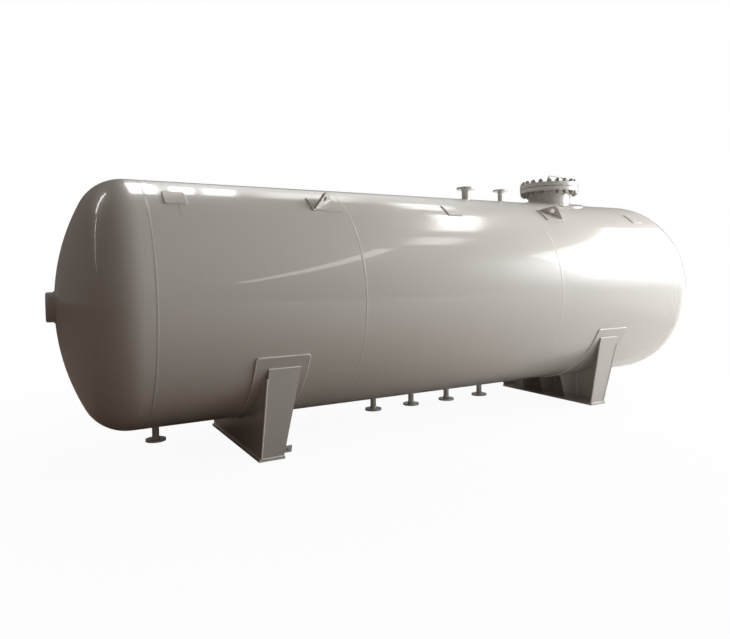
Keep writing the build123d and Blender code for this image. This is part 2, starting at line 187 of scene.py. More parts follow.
# Colours of the light
DAYLIGHT = (0.95, 0.98, 1.0)
ROOF_LIGHT = (1.0, 0.99, 0.97)
ROOF_HAZE = (1.0, 0.94, 0.86)

# Floor, and the places between which its zones fade in
FLOOR_MIDDLE = 2.0
FLOOR_HALF = 60.0
FLOOR_DROP = 0.5 * MM
SUNLIT_ALONG = (-1.0, 4.8)
GLOW_ALONG = (5.5, 11.5)
GLOW_STRENGTH = 0.9
SHADE_REACH = (2.0, 7.5)
SHADE_WHITENESS = 0.95
WHITE_FLOOR_ALONG = (-1.0, 5.0)
WHITE_FLOOR_ACROSS = (3.0, 9.0)
CONCRETE_SCALE = 0.9
CONCRETE_DARK = (0.22, 0.165, 0.13, 1.0)
CONCRETE_LIGHT = (0.27, 0.21, 0.17, 1.0)
CONCRETE_SUNLIT = (0.85, 0.84, 0.82, 1.0)
FLOOR_PALE = (0.9, 0.9, 0.89, 1.0)

# Hall round the tank, as the tank's own surfaces see it
HALL_DIM = (0.13, 0.108, 0.10, 1.0)
HALL_PALE = (1.6, 1.6, 1.6, 1.0)
HALL_HIGH = (0.13, 0.115, 0.10, 1.0)
HALL_GAP = (0.25, 0.25, 0.25, 1.0)
WHITE = (1.0, 1.0, 1.0, 1.0)

# Parts of a ray's direction between which the hall's zones and the backdrop fade in
PALE_X = (0.4, 1.0)
HIGH_Z = (0.2, 0.7)
HIGH_AMOUNT = 0.8
GAP_X = (0.50, 0.68)
GAP_Y = (0.10, 0.28)
BACKDROP_Y = (0.3, 0.55)
BACKDROP_LEFT_X = (0.05, 0.25)
BACKDROP_RIGHT_X = (0.72, 0.50)
BACKDROP_LOW_Z = (0.30, 0.48)
BACKDROP_HIGH_Z = (0.78, 0.72)

# Nuts and studs of the manway; each nut sits turned by NUT_TURN radians more than the last
NUT_ACROSS_FLATS = 50 * MM
NUT_HEIGHT = 26 * MM
NUT_FACE_SHARE = 0.95
NUT_CHAMFER = 30
NUT_SIDES = 24
NUT_TURN = 1.7
THREAD_PITCH = 3.5 * MM
THREAD_DEPTH = 1.6 * MM
STUD_SPARE = 14 * MM
STUD_REACH = NUT_HEIGHT + STUD_SPARE
STUD_CHAMFER = 2 * MM
STUD_SIDES = 16

# Bolt of the earthing lug
EARTH_BOLT = 12 * MM
EARTH_NUT_ACROSS_FLATS = 18 * MM
EARTH_HEAD_HEIGHT = 7.5 * MM
EARTH_NUT_HEIGHT = 10.8 * MM
EARTH_WASHER = 24 * MM
EARTH_WASHER_THICKNESS = 2.5 * MM
EARTH_WASHER_GAP = 0.2 * MM
EARTH_BOLT_SPARE = 5 * MM
DISC_SIDES = 24


def node(tree, kind, inputs=None, **settings):
    """Add a node, set its options, and fill its inputs with values or links."""
    made = tree.nodes.new(kind)
    for name, value in settings.items():
        setattr(made, name, value)
    for name, value in (inputs or {}).items():
        if isinstance(value, bpy.types.NodeSocket):
            tree.links.new(value, made.inputs[name])
        else:
            made.inputs[name].default_value = value
    return made


def calc(tree, operation, first, second=0.0):
    """One step of arithmetic; returns its result's socket."""
    return node(tree, "ShaderNodeMath", {0: first, 1: second}, operation=operation).outputs[0]


def times(tree, first, second):
    """Product of two values."""
    return calc(tree, "MULTIPLY", first, second)


def ramp(tree, value, low, high, out_low=0.0, out_high=1.0):
    """Value mapped smoothly from one range to another."""
    inputs = {"Value": value, "From Min": low, "From Max": high, "To Min": out_low, "To Max": out_high}
    made = node(tree, "ShaderNodeMapRange", inputs, interpolation_type="SMOOTHSTEP")
    return made.outputs["Result"]


def blend(tree, share, first, second):
    """Mix of two colours."""
    inputs = {"Factor": share, 6: first, 7: second}
    return node(tree, "ShaderNodeMix", inputs, data_type="RGBA").outputs[2]


def noise(tree, place, scale, detail=3.0, roughness=0.55):
    """Noise at a scale in blobs a metre."""
    inputs = {"Vector": place, "Scale": scale, "Detail": detail, "Roughness": roughness}
    return node(tree, "ShaderNodeTexNoise", inputs).outputs["Fac"]


def new_material(name):
    """Empty material with a principled shader; returns the material, tree and shader."""
    material = bpy.data.materials.new(name)
    material.use_nodes = True
    tree = material.node_tree
    tree.nodes.clear()
    shader = node(tree, "ShaderNodeBsdfPrincipled")
    node(tree, "ShaderNodeOutputMaterial", {"Surface": shader.outputs[0]})
    return material, tree, shader


def object_place(tree):
    """Place on the object in metres, with its X, Y and Z."""
    place = node(tree, "ShaderNodeTexCoord").outputs["Object"]
    parts = node(tree, "ShaderNodeSeparateXYZ", {0: place})
    return place, parts.outputs["X"], parts.outputs["Y"], parts.outputs["Z"]


def wrap_place(tree, x, y, z, along, around):
    """Coordinates that run along the tank and round its shell, each stretched by its own scale."""
    side = calc(tree, "ABSOLUTE", y)
    height = calc(tree, "SUBTRACT", z, AXIS_Z)
    angle = calc(tree, "ARCTAN2", height, side)
    made = node(tree, "ShaderNodeCombineXYZ", {
        "X": times(tree, x, along),
        "Y": times(tree, angle, around),
        "Z": times(tree, calc(tree, "SIGN", y), SIDE_SHIFT),
    })
    return made.outputs[0], angle


def dirty(tree, x, y, z, colour):
    """Colour with thin streaks of dirt that run down the upper part of the shell."""
    place, angle = wrap_place(tree, x, y, z, STREAKS_ALONG, STREAKS_AROUND)
    streak = ramp(tree, noise(tree, place, scale=1.0, detail=4.0, roughness=0.6), *STREAK_EDGES)
    share = times(tree, streak, ramp(tree, angle, *STREAK_ANGLES))
    return blend(tree, times(tree, share, DIRT_AMOUNT), colour, DIRT)


def dust_share(tree, place, amount):
    """How much dust lies on the faces that look up."""
    normal = node(tree, "ShaderNodeNewGeometry").outputs["Normal"]
    up = node(tree, "ShaderNodeSeparateXYZ", {0: normal}).outputs["Z"]
    patches = ramp(tree, noise(tree, place, DUST_SCALE), *DUST_EDGES)
    return times(tree, times(tree, ramp(tree, up, *DUST_UP), patches), amount)


def specked(tree, place, colour):
    """Colour with small specks of rust, gathered in a few places."""
    speck = ramp(tree, noise(tree, place, SPECK_SCALE, detail=2.0), *SPECK_EDGES)
    field = ramp(tree, noise(tree, place, SPECK_FIELD_SCALE), *SPECK_FIELD_EDGES)
    return blend(tree, times(tree, times(tree, speck, field), RUST_AMOUNT), colour, RUST)


def sprayed_relief(tree, place, wave):
    """Normal of a sprayed coat on rolled plate: fine orange peel over long shallow waves."""
    peel = node(tree, "ShaderNodeBump", {
        "Strength": 0.25, "Distance": PEEL_DEPTH, "Height": noise(tree, place, PEEL_SCALE, detail=2.0),
    })
    sag = node(tree, "ShaderNodeBump", {
        "Strength": 1.0,
        "Distance": wave,
        "Height": noise(tree, place, SAG_SCALE, detail=1.0),
        "Normal": peel.outputs[0],
    })
    return sag.outputs[0]


def paint_finish(name, light, dark, roughness, wave, dust_amount):
    """Sprayed enamel: mottled, streaked, dusty and specked, with orange peel on a slightly wavy plate."""
    material, tree, shader = new_material(name)
    place, x, y, z = object_place(tree)
    colour = blend(tree, noise(tree, place, MOTTLE_SCALE, detail=2.0), light, dark)
    colour = dirty(tree, x, y, z, colour)
    dusty = dust_share(tree, place, dust_amount)
    colour = blend(tree, dusty, colour, DUST)
    colour = specked(tree, place, colour)
    gloss = noise(tree, place, GLOSS_SCALE, detail=0.0)
    rough = ramp(tree, gloss, *GLOSS_EDGES, roughness, roughness + GLOSS_RANGE)
    rough = calc(tree, "ADD", rough, times(tree, dusty, DUST_DULLNESS))
    tree.links.new(colour, shader.inputs["Base Color"])
    tree.links.new(rough, shader.inputs["Roughness"])
    tree.links.new(sprayed_relief(tree, place, wave), shader.inputs["Normal"])
    shader.inputs["Coat Weight"].default_value = COAT_WEIGHT
    shader.inputs["Coat Roughness"].default_value = COAT_ROUGHNESS
    return material, tree, shader, colour


def run_share(tree, x, y, angle, run):
    """Thin line that a run of rusty water has left down the front of the shell."""
    station, high, low = run
    line = ramp(tree, calc(tree, "ABSOLUTE", calc(tree, "SUBTRACT", x, station)), RUN_HALF_WIDTH, 0.0)
    fading = times(tree, ramp(tree, angle, low, high), ramp(tree, angle, high + RUN_START_FADE, high))
    front = calc(tree, "LESS_THAN", y, 0.0)
    return times(tree, times(tree, line, fading), front)


def tank_paint():
    """Glossy light grey enamel of the shell and heads, with the runs below two pads."""
    material, tree, shader, colour = paint_finish(
        "tank_paint", light=(0.63, 0.605, 0.565, 1.0), dark=(0.61, 0.58, 0.54, 1.0),
        roughness=0.29, wave=0.7 * MM, dust_amount=0.15)
    x, y, z = object_place(tree)[1:]
    angle = wrap_place(tree, x, y, z, 1.0, 1.0)[1]
    for run in RUNS:
        share = times(tree, run_share(tree, x, y, angle, run), RUN_AMOUNT)
        colour = blend(tree, share, colour, RUN_RUST)
    tree.links.new(colour, shader.inputs["Base Color"])
    return material


def fitting_painted_light():
    """Lighter, plainer copy of the grey enamel on the nozzles and the manway: painted light, standing in
    for light they lack.
    """
    return paint_finish(
        "fitting_painted_light", light=(0.73, 0.715, 0.69, 1.0), dark=(0.70, 0.68, 0.65, 1.0),
        roughness=0.31, wave=0.4 * MM, dust_amount=0.15)[0]


def saddle_paint():
    """The tank's enamel, duller and dustier, on the saddles."""
    return paint_finish(
        "saddle_paint", light=(0.60, 0.58, 0.545, 1.0), dark=(0.56, 0.54, 0.505, 1.0),
        roughness=0.34, wave=1.0 * MM, dust_amount=0.35)[0]


def weld_highlight_paint(name, light, dark):
    """Enamel over a weld bead, rippled along the bead; the paler colours that it is given are a painted
    highlight.
    """
    material, tree, shader = paint_finish(
        name, light, dark, roughness=0.30, wave=0.3 * MM, dust_amount=0.15)[:3]
    along = node(tree, "ShaderNodeAttribute", attribute_name="along").outputs["Fac"]
    wave = calc(tree, "SINE", times(tree, along, 2 * math.pi / RIPPLE_PITCH))
    smooth = shader.inputs["Normal"].links[0].from_socket
    bump = node(tree, "ShaderNodeBump", {
        "Strength": 0.8, "Distance": RIPPLE_DEPTH, "Height": wave, "Normal": smooth,
    })
    tree.links.new(bump.outputs[0], shader.inputs["Normal"])
    return material


def gasket_sheet():
    """Dark compressed sheet with a fibrous edge."""
    material, tree, shader = new_material("gasket_sheet")
    place = object_place(tree)[0]
    fibre = noise(tree, place, scale=240.0, detail=4.0)
    colour = blend(tree, fibre, (0.035, 0.035, 0.036, 1.0), (0.10, 0.095, 0.09, 1.0))
    bump = node(tree, "ShaderNodeBump", {"Strength": 0.5, "Distance": 0.5 * MM, "Height": fibre})
    tree.links.new(colour, shader.inputs["Base Color"])
    tree.links.new(bump.outputs[0], shader.inputs["Normal"])
    shader.inputs["Roughness"].default_value = 0.75
    return material


def fastener_steel():
    """Dull grey steel of the studs and nuts, browned where it has begun to rust."""
    material, tree, shader = new_material("fastener_steel")
    place = object_place(tree)[0]
    patch = ramp(tree, noise(tree, place, scale=60.0, detail=5.0), 0.46, 0.72)
    colour = blend(tree, patch, (0.42, 0.41, 0.385, 1.0), (0.28, 0.23, 0.18, 1.0))
    grain = noise(tree, place, scale=700.0, detail=2.0)
    bump = node(tree, "ShaderNodeBump", {"Strength": 0.4, "Distance": 0.3 * MM, "Height": grain})
    tree.links.new(colour, shader.inputs["Base Color"])
    tree.links.new(ramp(tree, patch, 0.0, 1.0, 0.38, 0.7), shader.inputs["Roughness"])
    tree.links.new(ramp(tree, patch, 0.0, 1.0, 0.45, 0.1), shader.inputs["Metallic"])
    tree.links.new(bump.outputs[0], shader.inputs["Normal"])
    return material


MATERIALS = {
    "tank_paint": tank_paint(),
    # The fittings' lighter copy of the enamel is painted light.
    "fitting_painted_light": fitting_painted_light(),
    "saddle_paint": saddle_paint(),
    # Over the tank's welds the enamel's light end is a little paler than the tank's: a painted highlight
    # along the beads.
    "weld_highlight_paint": weld_highlight_paint(
        "weld_highlight_paint", light=(0.65, 0.625, 0.585, 1.0), dark=(0.61, 0.58, 0.535, 1.0)),
    # Much paler enamel on the saddles' welds: a painted highlight along the plate edges.
    "saddle_weld_highlight_paint": weld_highlight_paint(
        "saddle_weld_highlight_paint", light=(0.86, 0.83, 0.78, 1.0), dark=(0.80, 0.76, 0.70, 1.0)),
    "gasket_sheet": gasket_sheet(),
    "fastener_steel": fastener_steel(),
}


def dress_nodes():
    """Give every node of the frame the finish that the record names, and the fittings the lighter copy
    that is painted light.
    """
    for part in frame["record"]["subparts"]:
        mesh = frame["nodes"][part["node"]].data
        look = "fitting_painted_light" if part["node"].startswith(PAINTED_LIGHT_FITTINGS) else part["material_slot"]
        mesh.materials.clear()
        mesh.materials.append(MATERIALS[look])


def shell_point(x, angle, radius=RADIUS):
    """Point round the tank's axis, at an angle in radians above the front horizontal."""
    return Vector((x, -radius * math.cos(angle), AXIS_Z + radius * math.sin(angle)))


def outward(point):
    """Direction straight out of the tank's axis at a point."""
    return Vector((0.0, point.y, point.z - AXIS_Z)).normalized()


def closed_path(points, normals):
    """A weld's line that meets itself."""
    return {"points": points, "normals": normals, "closed": True}


def open_path(points, normals):
    """A weld's line with two ends."""
    return {"points": points, "normals": normals, "closed": False}


def girth_path(x, radius=RADIUS, steps=240):
    """Circle round the tank at a station."""
    points = [shell_point(x, 2 * math.pi * step / steps, radius) for step in range(steps)]
    return closed_path(points, [outward(point) for point in points])


def seam_path(x_start, x_end, angle, radius=RADIUS, steps=40):
    """Straight seam along a course."""
    points = []
    for step in range(steps + 1):
        points.append(shell_point(x_start + (x_end - x_start) * step / steps, angle, radius))
    return open_path(points, [outward(point) for point in points])


def branch_path(x, pipe_radius, surface_radius, side, steps=96):
    """Line where an upright pipe meets the shell, above or below the axis."""
    points = []
    normals = []
    for step in range(steps):
        turn = 2 * math.pi * step / steps
        y = pipe_radius * math.sin(turn)
        z = AXIS_Z + side * math.sqrt(surface_radius ** 2 - y ** 2)
        point = Vector((x + pipe_radius * math.cos(turn), y, z))
        points.append(point)
        normals.append((outward(point) + Vector((math.cos(turn), math.sin(turn), 0.0))).normalized())
    return closed_path(points, normals)


def pad_path(x_low, x_high, angle_low, angle_high, radius, corner=0.0, steps=24, corner_steps=6):
    """Edge of a rolled pad on the shell, with its corners rounded; normals lean out of the pad."""
    span = radius * (angle_high - angle_low)
    flat = []
    for centre_x, centre_s, start in (
        (x_high - corner, corner, -90),
        (x_high - corner, span - corner, 0),
        (x_low + corner, span - corner, 90),
        (x_low + corner, corner, 180),
    ):
        for step in range(corner_steps + 1):
            turn = math.radians(start + 90 * step / corner_steps)
            flat.append((centre_x + corner * math.cos(turn), centre_s + corner * math.sin(turn), turn))
    points = []
    normals = []
    for index, (x, s, turn) in enumerate(flat):
        next_x, next_s = flat[(index + 1) % len(flat)][:2]
        length = math.hypot(next_x - x, next_s - s)
        count = max(1, round(length / (span / steps)))
        if length < SHORTEST_EDGE:
            continue
        for step in range(count):
            share = step / count
            angle = angle_low + (s + share * (next_s - s)) / radius
            point = shell_point(x + share * (next_x - x), angle, radius)
            uphill = Vector((0.0, math.sin(angle), math.cos(angle)))
            edge_out = Vector((math.cos(turn), 0.0, 0.0)) + math.sin(turn) * uphill
            points.append(point)
            normals.append((outward(point) + edge_out).normalized())
    return closed_path(points, normals)


def mirrored(path):
    """The same line on the tank's other side."""
    flip = Vector((1.0, -1.0, 1.0))
    return {
        "points": [point * flip for point in path["points"]],
        "normals": [normal * flip for normal in path["normals"]],
        "closed": path["closed"],
    }


def path_mesh(name, paths):
    """Loose edges of the weld lines, with the outward direction kept on every point."""
    points = []
    edges = []
    normals = []
    for path in paths:
        first = len(points)
        count = len(path["points"])
        points += path["points"]
        normals += path["normals"]
        edges += [(first + step, first + step + 1) for step in range(count - 1)]
        if path["closed"]:
            edges.append((first + count - 1, first))
    mesh = bpy.data.meshes.new(name)
    mesh.from_pydata(points, edges, [])
    store = mesh.attributes.new("outward", "FLOAT_VECTOR", "POINT")
    store.data.foreach_set("vector", [value for normal in normals for value in normal])
    return mesh


def new_tree(name, sizes):
    """Geometry tree with named number inputs; returns the tree, its input and output nodes."""
    tree = bpy.data.node_groups.new(name, "GeometryNodeTree")
    tree.interface.new_socket("Geometry", in_out="INPUT", socket_type="NodeSocketGeometry")
    for size, kind in sizes.items():
        tree.interface.new_socket(size, in_out="INPUT", socket_type=kind)
    tree.interface.new_socket("Geometry", in_out="OUTPUT", socket_type="NodeSocketGeometry")
    return tree, tree.nodes.new("NodeGroupInput"), tree.nodes.new("NodeGroupOutput")


def finish_tree(tree, geometry, material, result):
    """Realize the instances and set the material at the end of a tree."""
    real = node(tree, "GeometryNodeRealizeInstances", {"Geometry": geometry})
    dressed = node(tree, "GeometryNodeSetMaterial", {"Geometry": real.outputs[0], "Material": material})
    tree.links.new(dressed.outputs[0], result.inputs[0])


def bead_section(tree, given):
    """Flattened round section of a bead, as high and as wide as the tree's inputs say."""
    circle = node(tree, "GeometryNodeCurvePrimitiveCircle", {"Resolution": BEAD_SIDES, "Radius": 1.0})
    sizes = node(tree, "ShaderNodeCombineXYZ", {
        "X": given.outputs["Height"], "Y": given.outputs["Half Width"], "Z": 1.0,
    })
    section = node(tree, "GeometryNodeTransform", {
        "Geometry": circle.outputs[0], "Scale": sizes.outputs[0],
    })
    return section.outputs[0]


def lumpy(tree, geometry, unevenness):
    """Skin shifted a little here and there, as a weld leaves it."""
    lumps = node(tree, "ShaderNodeTexNoise", {"Scale": BEAD_LUMPS, "Detail": 2.0})
    centred = node(tree, "ShaderNodeVectorMath", {
        0: lumps.outputs["Color"], 1: (0.5, 0.5, 0.5),
    }, operation="SUBTRACT")
    shift = node(tree, "ShaderNodeVectorMath", {0: centred.outputs[0]}, operation="SCALE")
    tree.links.new(unevenness, shift.inputs["Scale"])
    uneven = node(tree, "GeometryNodeSetPosition", {"Geometry": geometry, "Offset": shift.outputs[0]})
    return uneven.outputs[0]


def bead_tree():
    """Weld bead: a flattened round section swept along each line, with an uneven, rippled crest."""
    tree, given, result = new_tree("weld_bead", {
        "Half Width": "NodeSocketFloat",
        "Height": "NodeSocketFloat",
        "Step": "NodeSocketFloat",
        "Unevenness": "NodeSocketFloat",
        "Material": "NodeSocketMaterial",
    })
    curve = node(tree, "GeometryNodeMeshToCurve", {"Mesh": given.outputs["Geometry"]})
    even = node(tree, "GeometryNodeResampleCurve", {"Curve": curve.outputs[0]}, mode="LENGTH")
    tree.links.new(given.outputs["Step"], even.inputs["Length"])
    out = node(tree, "GeometryNodeInputNamedAttribute", {"Name": "outward"}, data_type="FLOAT_VECTOR")
    aimed = node(tree, "GeometryNodeSetCurveNormal", {"Curve": even.outputs[0]}, mode="FREE")
    tree.links.new(out.outputs[0], aimed.inputs["Normal"])
    parameter = node(tree, "GeometryNodeSplineParameter")
    kept = node(tree, "GeometryNodeStoreNamedAttribute", {
        "Geometry": aimed.outputs[0], "Name": "along", "Value": parameter.outputs["Length"],
    }, data_type="FLOAT", domain="POINT")
    swept = node(tree, "GeometryNodeCurveToMesh", {
        "Curve": kept.outputs[0], "Profile Curve": bead_section(tree, given), "Fill Caps": True,
    })
    uneven = lumpy(tree, swept.outputs[0], given.outputs["Unevenness"])
    smooth = node(tree, "GeometryNodeSetShadeSmooth", {"Geometry": uneven})
    finish_tree(tree, smooth.outputs[0], given.outputs["Material"], result)
    return tree


def ring_tree():
    """Bolts set round an upright circle."""
    tree, given, result = new_tree("bolt_ring", {
        "Count": "NodeSocketInt",
        "Radius": "NodeSocketFloat",
        "First Turn": "NodeSocketFloat",
        "Centre": "NodeSocketVector",
        "Material": "NodeSocketMaterial",
    })
    circle = node(tree, "GeometryNodeMeshCircle", {
        "Vertices": given.outputs["Count"], "Radius": given.outputs["Radius"],
    })
    index = node(tree, "GeometryNodeInputIndex")
    spin = node(tree, "ShaderNodeMath", {0: index.outputs[0], 1: NUT_TURN}, operation="MULTIPLY")
    turn = node(tree, "ShaderNodeCombineXYZ", {"Z": spin.outputs[0]})
    placed = node(tree, "GeometryNodeInstanceOnPoints", {
        "Points": circle.outputs[0], "Instance": given.outputs["Geometry"], "Rotation": turn.outputs[0],
    })
    first = node(tree, "ShaderNodeCombineXYZ", {"Z": given.outputs["First Turn"]})
    moved = node(tree, "GeometryNodeTransform", {
        "Geometry": placed.outputs[0],
        "Translation": given.outputs["Centre"],
        "Rotation": first.outputs[0],
    })
    finish_tree(tree, moved.outputs[0], given.outputs["Material"], result)
    return tree


BEAD_TREE = bead_tree()
RING_TREE = ring_tree()


def grown(name, start_mesh, tree, values):
    """Run a geometry tree on a mesh and keep the result as a plain piece of the tank."""
    piece = bpy.data.objects.new(name, start_mesh)
    bpy.context.scene.collection.objects.link(piece)
    modifier = piece.modifiers.new(tree.name, "NODES")
    modifier.node_group = tree
    for item in tree.interface.items_tree:
        if item.in_out == "INPUT" and item.name in values:
            modifier[item.identifier] = values[item.name]
    bpy.context.view_layer.update()
    graph = bpy.context.evaluated_depsgraph_get()
    mesh = bpy.data.meshes.new_from_object(piece.evaluated_get(graph))
    mesh.name = name
    piece.modifiers.clear()
    piece.data = mesh
    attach(piece, BODY)


def weld(name, paths, half_width, height, step=WELD_STEP, slot="tank_paint", uneven=WELD_UNEVENNESS):
    """Weld beads along the given lines, as one piece; their paler paint is a painted highlight, palest on
    the saddles.
    """
    grown(name, path_mesh(name, paths), BEAD_TREE, {
        "Half Width": half_width,
        "Height": height,
        "Step": step,
        "Unevenness": uneven,
        "Material": MATERIALS["saddle_weld_highlight_paint" if slot == "saddle_paint" else "weld_highlight_paint"],
    })


def make_shell_welds():
    """Girth welds between the courses and heads, and each course's seam on the far side."""
    radius = RADIUS + GIRTH_WELD_RISE - GIRTH_WELD_DEPTH
    ends = (LEFT_WELD, WELD_B, WELD_C, RIGHT_WELD)
    girths = [girth_path(x, radius) for x in ends]
    seams = []
    for start, end, degrees in zip(ends, ends[1:], SEAM_ANGLES):
        seams.append(seam_path(start, end, math.radians(degrees), radius))
    for name, paths in (("girth_welds", girths), ("course_seams", seams)):
        weld(name, paths, GIRTH_WELD_HALF, GIRTH_WELD_DEPTH, GIRTH_WELD_STEP,
             uneven=GIRTH_WELD_UNEVENNESS)


def branch_centre(name):
    """X, pipe radius and side of a nozzle, from its box."""
    low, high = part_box(name)
    side = 1 if high.z > AXIS_Z else -1
    flange = round((high.x - low.x) / MM)
    return (low.x + high.x) / 2, PIPE_RADII[flange], side


def make_branch_welds():
    """Fillets round the foot of every nozzle, the manway's neck and its pad."""
    paths = []
    for name in frame["nodes"]:
        if name.startswith("nozzle_"):
            x, pipe, side = branch_centre(name)
            paths.append(branch_path(x, pipe, RADIUS, side))
    weld("nozzle_welds", paths, NOZZLE_FILLET, NOZZLE_FILLET, NOZZLE_WELD_STEP)
    pad_top = RADIUS + SEAT + MANWAY_PAD_THICKNESS
    pad_low, pad_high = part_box("manway_pad")
    pad_radius = (pad_high.x - pad_low.x) / 2
    ring = branch_path(MANWAY_X, MANWAY_NECK / 2, pad_top, 1, steps=200)
    edge = branch_path(MANWAY_X, pad_radius, RADIUS + SEAT, 1, steps=300)
    weld("manway_welds", [ring, edge], MANWAY_FILLET, MANWAY_FILLET)


def pad_angles(name, thickness):
    """Angles between which a front pad lies on the shell, from its box."""
    low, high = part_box(name)
    inner = RADIUS + SEAT
    return math.asin((low.z - AXIS_Z) / inner), math.asin((high.z - AXIS_Z) / (inner + thickness))


def solid_groups(name):
    """Lowest and highest X of each separate solid in a node, along the tank."""
    xs = sorted({round(vertex.co.x, 4) for vertex in frame["nodes"][name].data.vertices})
    groups = [[xs[0], xs[0]]]
    for x in xs:
        if x - groups[-1][1] > PAD_GAP:
            groups.append([x, x])
        groups[-1][1] = x
    return groups


def make_pad_welds():
    """Fillets round the lifting lugs' pads and the bracket pads, front and back."""
    paths = []
    for name, thickness in (
        ("lug_pad_front_left", LUG_PAD_THICKNESS),
        ("lug_pad_front_right", LUG_PAD_THICKNESS),
        ("bracket_pads_front", BRACKET_PAD_THICKNESS),
    ):
        low_angle, high_angle = pad_angles(name, thickness)
        for x_low, x_high in solid_groups(name):
            path = pad_path(x_low, x_high, low_angle, high_angle, RADIUS + SEAT + thickness / 2)
            paths += [path, mirrored(path)]
    weld("pad_welds", paths, PAD_FILLET_HALF, PAD_FILLET_HEIGHT)


def make_lug_welds():
    """Fillets on both faces of each lifting lug, across its pad."""
    paths = []
    surface = RADIUS + SEAT + LUG_PAD_THICKNESS
    for pad, degrees in (("lug_pad_front_left", LUG_TURN), ("lug_pad_front_right", 180 - LUG_TURN)):
        pad_low, pad_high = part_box(pad)
        low_angle, high_angle = pad_angles(pad, LUG_PAD_THICKNESS)
        middle = (low_angle + high_angle) / 2
        x = (pad_low.x + pad_high.x) / 2
        turn = math.radians(degrees)
        for side in (-1, 1):
            points = []
            for step in range(LUG_WELD_SPANS + 1):
                reach = (step / LUG_WELD_SPANS - 0.5) * LUG_WIDTH
                across = side * LUG_WELD_OFFSET
                sx = reach * math.cos(turn) - across * math.sin(turn)
                su = reach * math.sin(turn) + across * math.cos(turn)
                points.append(shell_point(x + sx, middle + su / surface, surface))
            path = open_path(points, [outward(point) for point in points])
            paths += [path, mirrored(path)]
    weld("lug_welds", paths, LUG_FILLET, LUG_FILLET)


def make_boss_weld(steps=120):
    """Fillet where the gauge boss meets the left head."""
    low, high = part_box("gauge_boss")
    radius = (high.z - low.z) / 2
    apex_x = low.x + BOSS_PROJECTION
    x = apex_x + HEAD_CROWN - math.sqrt(HEAD_CROWN ** 2 - radius ** 2)
    points = []
    normals = []
    for step in range(steps):
        turn = 2 * math.pi * step / steps
        points.append(Vector((x, radius * math.cos(turn), AXIS_Z + radius * math.sin(turn))))
        normals.append(Vector((-1.0, math.cos(turn), math.sin(turn))).normalized())
    weld("boss_weld", [closed_path(points, normals)], BOSS_FILLET, BOSS_FILLET)


def straight_path(start, end, normal, steps=30):
    """Straight weld between two points."""
    start = Vector(start)
    end = Vector(end)
    points = [start + (end - start) * step / steps for step in range(steps + 1)]
    return open_path(points, [Vector(normal).normalized()] * len(points))


def cradle_path(x, radius, facing, steps=60):
    """Arc under the belly where a web meets its wear pad, on the web's outer face."""
    points = []
    normals = []
    for step in range(steps + 1):
        angle = math.radians(-90 - WEB_ARC + 2 * WEB_ARC * step / steps)
        points.append(shell_point(x, angle, radius))
        normals.append(Vector((-facing, 0.0, 0.0)) - outward(points[-1]))
    return open_path(points, normals)


def rib_paths(side_x, facing, base_top, cradle, middles):
    """Fillets at the foot of each rib and up its corner with the web."""
    lines = []
    for middle in middles:
        pad_bottom = AXIS_Z - math.sqrt(cradle ** 2 - middle ** 2)
        for side in (-1, 1):
            y = middle + side * RIB_THICKNESS / 2
            corner = Vector((side_x, y, base_top))
            free = Vector((side_x + facing * RIB_WIDTH_FOOT, y, base_top))
            head = Vector((side_x, y, pad_bottom))
            lines.append(straight_path(corner, free, (0.0, side, 1.0)))
            lines.append(straight_path(corner, head, (facing, side, 0.0)))
    return lines


def end_plate_line(saddle, x):
    """Foot and top of a front end plate's outer face at a station, and the way that the face looks."""
    plate_low, plate_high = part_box(saddle + "_end_plate_front")
    base_low, base_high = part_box(saddle + "_base_plate")
    foot = Vector((x, base_low.y + END_PLATE_SETBACK, base_high.z))
    top = Vector((x, plate_low.y, plate_high.z))
    out = Vector((0.0, foot.z - top.z, top.y - foot.y)).normalized()
    return foot, top, out


def saddle_paths(saddle):
    """Weld lines of one saddle, the front ones mirrored to the back."""
    web_low, web_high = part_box(saddle + "_web")
    pad_low, pad_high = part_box(saddle + "_wear_pad")
    base_low, base_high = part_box(saddle + "_base_plate")
    facing = 1 if web_low.x + web_high.x < base_low.x + base_high.x else -1
    outer_x, side_x = (web_low.x, web_high.x) if facing > 0 else (web_high.x, web_low.x)
    base_top = base_high.z
    cradle = RADIUS + 2 * SEAT + WEAR_PAD_THICKNESS

    foot, top, out = end_plate_line(saddle, side_x)
    along = Vector((facing, 0.0, 0.0))
    web_middle = -WEB_THICKNESS / 2 * along
    notch_share = 1 - (WEB_NOTCH_DROP + END_PLATE_RISE) / (top.z - foot.z)
    crest = top + Vector((0.0, END_PLATE_TOP_MIDDLE, 0.0))
    front = [
        straight_path(foot, foot + along * RIB_WIDTH_FOOT, (0.0, -1.0, 1.0)),
        straight_path(crest, crest + along * RIB_WIDTH_TOP, (0.0, -0.5, 1.0)),
        straight_path(foot + web_middle, foot + (top - foot) * notch_share + web_middle, out, steps=80),
    ]
    half = math.radians(WEAR_PAD_ANGLE / 2)
    belly = -math.pi / 2
    pad_middle = RADIUS + SEAT + WEAR_PAD_THICKNESS / 2
    across = Vector((-facing, 0.0, 1.0))
    middle = [
        pad_path(pad_low.x, pad_high.x, belly - half, belly + half, pad_middle, WEAR_PAD_CORNER, 120),
        straight_path((outer_x, foot.y, base_top), (outer_x, -foot.y, base_top), across, steps=80),
        cradle_path(outer_x, cradle, facing),
    ]
    rib_low, rib_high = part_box(saddle + "_ribs")
    rib_span = (rib_high.y - rib_low.y - RIB_THICKNESS) / 2
    ribs = rib_paths(side_x, facing, base_top, cradle, (-rib_span, 0.0, rib_span))
    return front + [mirrored(line) for line in front] + middle + ribs


